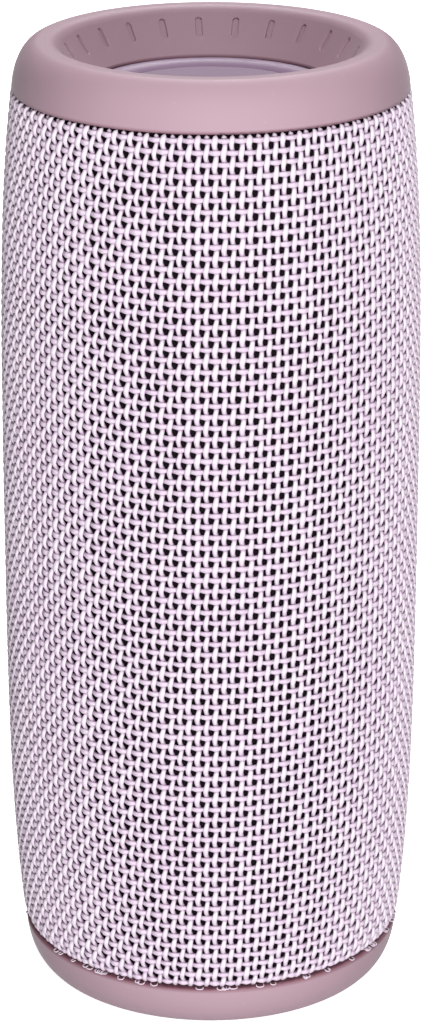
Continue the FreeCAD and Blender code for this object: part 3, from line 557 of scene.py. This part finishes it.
def wrap_sheet(name, inset, paint):
    around, up = 240, 60
    hem = 0.1 * mm
    theta = 2 * math.pi * np.arange(around) / around
    z = np.linspace(sleeve_low.z + hem, sleeve_high.z - hem, up + 1)
    zz, tt = np.meshgrid(z, theta, indexing="ij")
    rr = barrel(zz, inset) - turn_in(zz)
    verts = np.stack([rr * np.cos(tt), rr * np.sin(tt), zz], -1).reshape(-1, 3)
    faces = []
    for i in range(up):
        for j in range(around):
            n = (j + 1) % around
            ring = (i * around + j, i * around + n, (i + 1) * around + n, (i + 1) * around + j)
            if not all(in_strip(*verts[c]) for c in ring):
                faces.append(ring)
    mesh = bpy.data.meshes.new(name)
    mesh.from_pydata(verts.tolist(), [], faces)
    mesh.materials.append(paint)
    for face in mesh.polygons:
        face.use_smooth = True
    piece = bpy.data.objects.new(name, mesh)
    bpy.context.scene.collection.objects.link(piece)
    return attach(piece, "speaker")


backing_inset = 1.22 * mm
scrim_paint = mix_scrim()
backing = wrap_sheet("backing_cloth", backing_inset, scrim_paint)
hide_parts("woven_sleeve")

# %% [markdown]
# ## Soft-touch silicone
# The end rings, the control strip and the port door are one family of moulding: silicone with a
# soft-touch skin. The skin is nearly matt with a very fine grain and a faint bloom at its edges,
# which a little sheen gives. Handling and standing polish it, so the roughness wanders slowly and
# drops on the crests at the top and the foot. Where the rings tuck in against the sleeve, a thin
# red-brown line of painted shadow follows each seam, standing for the shade under the sleeve's edge.

# %% Moulded finishes
crest_height = 0.5 * mm
# Width and colour of the painted shadow line along each seam of the rings.
seam_width = 0.75 * mm
seam_shadow_colour = (0.16, 0.045, 0.065)


def wear(node, paint):
    """Give a CAD node another finish."""
    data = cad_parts[node].data
    data.materials.clear()
    data.materials.append(paint)
    data.polygons.foreach_set("material_index", np.zeros(len(data.polygons), np.int32))


def mix_moulded(name, light, dark, rough, grain, grain_size, sheen=0.0, spec=0.4, coat=0.0, seam=0.0):
    """Moulded rubber or plastic: slow drifts of tone and gloss, and a fine grain."""
    pot = Paint(name)
    place = pot.here()
    fine = pot.noise(place, grain_size, 3.0, 0.55)
    slow = pot.noise(place, 22 * mm, 3.0)
    from_middle = abs(pot.part(place, 2) - middle)
    crest = ((from_middle - (middle - crest_height)) / crest_height).held()
    past_seam = abs(from_middle - half_sleeve) / seam_width
    # Painted shadow: a thin red-brown line darkens the colour along each seam where the sleeve tucks in.
    seam_shadow_mask = (1.15 - past_seam).held() * seam
    speck = (pot.noise(place, 1.1 * mm, 1.0) * 8 - 5.6).held()
    tone = pot.blend((slow * 0.8 + fine * 0.2).held(), dark, light)
    pale = tuple(min(1, c * 1.25 + 0.03) for c in light)
    return pot.finish(
        Base_Color=pot.blend(seam_shadow_mask, pot.blend(speck * 0.22 + crest * 0.25, tone, pale), seam_shadow_colour),
        Roughness=(rough - 0.06) + slow * 0.12 - crest * 0.1,
        Specular_IOR_Level=spec,
        Sheen_Weight=sheen,
        Sheen_Roughness=0.35,
        Sheen_Tint=(0.93, 0.90, 1.0, 1),
        Coat_Weight=coat,
        Coat_Roughness=0.25,
        Normal=pot.bump(fine, grain, 0.03 * mm))


ring_paint = mix_moulded("soft_silicone", (0.468, 0.315, 0.372), (0.432, 0.289, 0.343),
                         rough=0.6, grain=0.25, grain_size=0.25 * mm, sheen=0.12, spec=0.2, seam=0.85)
strip_paint = mix_moulded("strip_silicone", (0.430, 0.300, 0.348), (0.398, 0.276, 0.320),
                          rough=0.52, grain=0.3, grain_size=0.3 * mm, sheen=0.3)
button_paint = mix_moulded("button_silicone", (0.48, 0.34, 0.395), (0.445, 0.317, 0.368),
                           rough=0.45, grain=0.2, grain_size=0.25 * mm, sheen=0.3)
mark_paint = mix_moulded("mark_silicone", (0.82, 0.72, 0.78), (0.78, 0.68, 0.74),
                         rough=0.4, grain=0.15, grain_size=0.2 * mm, sheen=0.1)
roll_paint = mix_moulded("lilac_rubber", (0.33, 0.225, 0.335), (0.30, 0.20, 0.305),
                         rough=0.45, grain=0.08, grain_size=0.3 * mm, sheen=0.1, spec=0.35)
disc_paint = mix_moulded("lilac_plate", (0.27, 0.185, 0.27), (0.25, 0.172, 0.25),
                         rough=0.6, grain=0.2, grain_size=0.2 * mm, sheen=0.1, spec=0.25)
black_paint = mix_moulded("black_plastic", (0.035, 0.035, 0.038), (0.02, 0.02, 0.022),
                          rough=0.5, grain=0.3, grain_size=0.25 * mm)
rubber_paint = mix_moulded("black_rubber", (0.03, 0.03, 0.03), (0.018, 0.018, 0.018),
                           rough=0.62, grain=0.2, grain_size=0.4 * mm, sheen=0.15)
chip_paint = mix_moulded("chip_black", (0.03, 0.03, 0.032), (0.02, 0.02, 0.021),
                         rough=0.42, grain=0.4, grain_size=0.12 * mm)
wrap_paint = mix_moulded("cell_wrap", (0.07, 0.24, 0.42), (0.05, 0.20, 0.36),
                         rough=0.22, grain=0.1, grain_size=0.8 * mm, spec=0.5, coat=0.5)
clear_paint = mix_moulded("clear_plastic", (0.86, 0.87, 0.88), (0.80, 0.81, 0.83),
                          rough=0.14, grain=0.05, grain_size=0.5 * mm)
print("moulded finishes mixed")

# %% [markdown]
# ## Metal, paper and cloth inside
# Open the speaker and there are plated screws, nickelled magnets, copper coils, pressed paper cones
# and brown centring cloth. Each is one small recipe: metals take a brushed grain that runs one way,
# paper takes loose fibres, wound wire takes ridges at the pitch of its turns, and the board's green
# mask shows the weave of the glass below it.

# %% Metals
def mix_metal(name, tint, dull, rough, run):
    """Plated or turned metal; run stretches the grain along an axis."""
    pot = Paint(name)
    place = pot.here()
    grain = pot.noise(pot.stretched(place, run), 0.3 * mm, 3.0, 0.6)
    stain = pot.noise(place, 5 * mm, 3.0, 0.6)
    return pot.finish(
        Base_Color=pot.blend((stain * 1.4 - 0.3).held(), tint, dull),
        Metallic=1.0,
        Roughness=(rough - 0.08) + grain * 0.1 + stain * 0.08,
        Normal=pot.bump(grain, 0.25, 0.02 * mm))


def mix_wound(name, light, dark, pitch):
    """Enamelled wire wound round the driver's axis."""
    pot = Paint(name)
    place = pot.here()
    ridge = (pot.part(place, 1) * (2 * math.pi / pitch)).sine()
    patch = pot.noise(place, 2 * mm)
    return pot.finish(
        Base_Color=pot.blend((ridge * 0.3 + patch * 0.6 + 0.1).held(), dark, light),
        Metallic=0.6,
        Roughness=0.3 + patch * 0.1,
        Normal=pot.bump(ridge, 0.8, 0.05 * mm))


steel_paint = mix_metal("zinc_steel", (0.62, 0.62, 0.64), (0.50, 0.49, 0.48), 0.38, (1, 1, 0.1))
nickel_paint = mix_metal("nickel", (0.74, 0.73, 0.72), (0.62, 0.60, 0.58), 0.2, (1, 0.2, 1))
coil_paint = mix_wound("copper_wire", (0.80, 0.44, 0.24), (0.50, 0.24, 0.12), 0.22 * mm)
print("metals:", steel_paint.name, nickel_paint.name, coil_paint.name)

# %% Paper, cloth and boards
def mix_fibre(name, light, dark, fibre, rough):
    """Pressed fibres lying every way."""
    pot = Paint(name)
    place = pot.here()
    hair = pot.noise(pot.stretched(place, (1, 0.25, 1)), fibre, 4.0, 0.7)
    cross = pot.noise(pot.stretched(place, (0.25, 1, 0.3)), fibre, 4.0, 0.7)
    mat = hair * 0.5 + cross * 0.5
    return pot.finish(
        Base_Color=pot.blend(mat, dark, light),
        Roughness=rough + mat * 0.1,
        Specular_IOR_Level=0.3,
        Normal=pot.bump(mat, 0.6, 0.08 * mm))


def mix_board(name):
    """Green mask over woven glass, with paler copper areas under it."""
    pot = Paint(name)
    place = pot.here()
    glass_pitch = 0.5 * mm
    thread = 2 * math.pi / glass_pitch
    weave = (pot.part(place, 0) * thread).sine() * (pot.part(place, 2) * thread).sine()
    copper = ((pot.cells(place, 4 * mm) - 0.35) * 9).held()
    ground = pot.blend(weave * 0.3 + 0.5, (0.012, 0.12, 0.06), (0.016, 0.15, 0.075))
    return pot.finish(
        Base_Color=pot.blend(copper * 0.6, ground, (0.03, 0.24, 0.11)),
        Roughness=0.34 - copper * 0.06,
        Coat_Weight=0.3,
        Coat_Roughness=0.15,
        Normal=pot.bump(copper + weave * 0.15, 0.4, 0.04 * mm))


cone_paint = mix_fibre("paper_cone", (0.07, 0.07, 0.072), (0.03, 0.03, 0.032), 0.5 * mm, 0.7)
spider_paint = mix_fibre("brown_cloth", (0.50, 0.32, 0.14), (0.32, 0.19, 0.08), 0.35 * mm, 0.8)
board_paint = mix_board("green_board")
print("inner finishes mixed")

# %% [markdown]
# ## Dress the frame's pieces
# The CAD shapes of the moulded and metal pieces are right as they are, so each keeps its shape and
# takes one of the finishes above. A table of finish and names is easier to check than a call for
# each of 59 nodes, and the count at the end shows that no node was forgotten.

# %% Finishes on the CAD nodes
buttons = ["power_button", "pairing_button", "volume_down_button", "volume_up_button", "play_button"]
both = ("top_", "bottom_")
drivers = ("upper_", "lower_")
dress = [
    (ring_paint, [w + "end_ring" for w in both]),
    (strip_paint, ["control_strip", "port_door"]),
    (button_paint, buttons),
    (roll_paint, [w + "radiator_surround" for w in both]),
    (disc_paint, [w + "radiator_diaphragm" for w in both]),
    (scrim_paint, ["sleeve_lining"]),
    (black_paint, ["front_housing", "rear_housing", "battery_cradle"]),
    (black_paint, [w + part for w in both for part in ("cap_frame", "radiator_frame")]),
    (black_paint, [w + "basket" for w in drivers]),
    (nickel_paint, [w + part for w in drivers for part in ("yoke", "magnet")]),
    (steel_paint, [w + "pole_plate" for w in drivers] + [w + "radiator_weight" for w in both]),
    (steel_paint, ["housing_screws", "cap_frame_screws", "driver_screws", "board_screws"]),
    (steel_paint, ["port_hinge_pin", "charging_socket"]),
    (coil_paint, [w + "voice_coil" for w in drivers] + ["board_inductors"]),
    (cone_paint, [w + part for w in drivers for part in ("cone", "dust_cap")]),
    (spider_paint, [w + "spider" for w in drivers]),
    (rubber_paint, [w + "cone_surround" for w in drivers] + ["driver_gaskets", "driver_leads"]),
    (wrap_paint, ["battery_cells", "board_capacitors"]),
    (board_paint, ["main_board", "button_board", "charging_board"]),
    (chip_paint, ["board_chips", "button_switches"]),
    (clear_paint, ["status_lights", "status_light_guide"]),
]
dressed = set()
for paint, names in dress:
    for node in names:
        wear(node, paint)
        dressed.add(node)
print("dressed", len(dressed), "nodes; left:", sorted(set(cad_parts) - dressed - {"woven_sleeve"}))

# %% [markdown]
# ## Marks on the buttons
# Each button carries a raised mark in paler silicone: a stroke in a ring for power, two linked
# rings for pairing, a bar and a cross for volume, and a triangle with two bars for play. The marks
# are short tubes half sunk in the button's face, made by the same tube maker as the yarn, and each
# rides on its own button so that it moves when the button is pressed. Seen from behind, the
# barrel's +X is on the left, so the strokes are drawn with X reversed.

# %% Strokes
stroke_half = 0.21 * mm


def arc(cx, cz, radius, start, end, count=21):
    a = np.radians(np.linspace(start, end, count))
    return np.stack([cx + radius * np.cos(a), cz + radius * np.sin(a)], -1)


def bar(x0, z0, x1, z1, count=7):
    return np.stack([np.linspace(x0, x1, count), np.linspace(z0, z1, count)], -1)


def raise_mark(node, body, strokes):
    """Lay strokes, given in millimetres as seen from behind, on a node's rear face."""
    low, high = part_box(node)
    centre_z = (low.z + high.z) / 2
    runs = []
    for stroke in strokes:
        points = stroke * mm
        line = np.stack([-points[:, 0], np.full(len(points), high.y), centre_z + points[:, 1]], -1)
        size = np.full(len(points), stroke_half)
        runs.append((line, size, size * 0.6))
    return lay_yarns(node + "_mark", runs, mark_paint, body=body)


print("strokes %.2f mm wide" % (2 * stroke_half / mm))

# %% Button marks
play_corners = [(-1.7, -1.3), (-1.7, 1.3), (0.4, 0.0), (-1.7, -1.3)]
marks = {
    "power_button": [arc(0, 0, 1.7, 125, 415), bar(0, 0.4, 0, 2.1)],
    "pairing_button": [arc(-0.8, 0, 1.2, 0, 360), arc(0.8, 0, 1.2, 0, 360)],
    "volume_down_button": [bar(-1.7, 0, 1.7, 0)],
    "volume_up_button": [bar(-1.7, 0, 1.7, 0), bar(0, -1.7, 0, 1.7)],
    "play_button": [bar(*a, *b) for a, b in zip(play_corners, play_corners[1:])]
    + [bar(x, -1.3, x, 1.3) for x in (1.1, 1.9)],
}
for node, strokes in marks.items():
    raise_mark(node, node, strokes)
print("marks on", len(marks), "buttons")

# %% [markdown]
# ## Grip ridges on the port door
# The door over the charging socket is hinged at its foot and is lifted by a fingernail at its top.
# Three low ridges near the top give the nail something to catch. They follow the door's round face
# and ride on the door.

# %% Door ridges
ridge_lift = 0.3 * mm
ridge_half = 0.26 * mm
ridge_reach = 3.2 * mm
first_ridge, ridge_pitch = 1.2, 0.9


def ridge(z, half_width):
    x = np.linspace(-half_width, half_width, 9)
    skin = barrel(z, -ridge_lift)
    y = np.sqrt(skin ** 2 - x ** 2)
    size = np.full(len(x), ridge_half)
    return np.stack([x, y, np.full(len(x), z)], -1), size, size


door_low, door_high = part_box("port_door")
door_ridges = [ridge(door_high.z - (first_ridge + ridge_pitch * k) * mm, ridge_reach)
               for k in range(3)]
lay_yarns("port_door_grip", door_ridges, strip_paint, body="port_door")
print("door ridges:", len(door_ridges))

# %% [markdown]
# ## Studio
# The speaker stands on a plain white table. A broad soft light in front, level with the barrel,
# washes the weave and leaves the recess in the ring's own shade; a weaker one above it opens the
# recess. Both stand a little to the right, so the left side falls off darker. One behind, set high
# to keep its glare off the crests, shows the controls to anyone who walks round, and a faint one
# straight above fills the recess. The table gives off light of its own so that it stays white, but
# it is kept from lighting the speaker, which would flatten the barrel's shading.

# %% Floor
table_glow = 0.9


def mix_floor():
    pot = Paint("white_table")
    speck = pot.noise(pot.here(), 33 * mm)
    return pot.finish(
        Base_Color=pot.blend(speck, (0.9, 0.9, 0.9), (0.93, 0.93, 0.93)),
        Roughness=0.9,
        Specular_IOR_Level=0.1,
        Emission_Color=(1, 1, 1, 1),
        Emission_Strength=table_glow)


reach = 6.0
floor_mesh = bpy.data.meshes.new("table")
floor_mesh.from_pydata([(-reach, -reach, 0), (reach, -reach, 0), (reach, reach, 0), (-reach, reach, 0)], [],
                       [(0, 1, 2, 3)])
floor_mesh.materials.append(mix_floor())
floor = bpy.data.objects.new("table", floor_mesh)
floor.location.z = cad_low.z - 0.1 * mm
floor.visible_diffuse = False
bpy.context.scene.collection.objects.link(floor)
print("table reaches %.0f m each way" % reach)

# %% Lights
room_glow = 0.07


def softbox(name, place, size, watts):
    data = bpy.data.lights.new(name, "AREA")
    data.shape = "RECTANGLE"
    data.size, data.size_y = size
    data.energy = watts
    light = bpy.data.objects.new(name, data)
    bpy.context.scene.collection.objects.link(light)
    light.location = place
    light.rotation_euler = (aim - Vector(place)).to_track_quat("-Z", "Y").to_euler()


softbox("front_light", (0.13, -1.5, 0.1), (0.5, 0.2), 17.5)
softbox("high_light", (0.1, -1.3, 0.95), (0.6, 0.6), 13.5)
softbox("back_light", (0.05, 1.0, 1.35), (0.7, 0.7), 19.0)
softbox("top_light", (0, 0.1, 1.6), (1.2, 1.2), 1.5)
world = bpy.data.worlds.new("studio")
world.use_nodes = True
background = world.node_tree.nodes["Background"]
background.inputs["Color"].default_value = (0.98, 0.97, 1.0, 1)
background.inputs["Strength"].default_value = room_glow
bpy.context.scene.world = world
bpy.context.scene.view_settings.view_transform = "Standard"
print("studio ready")
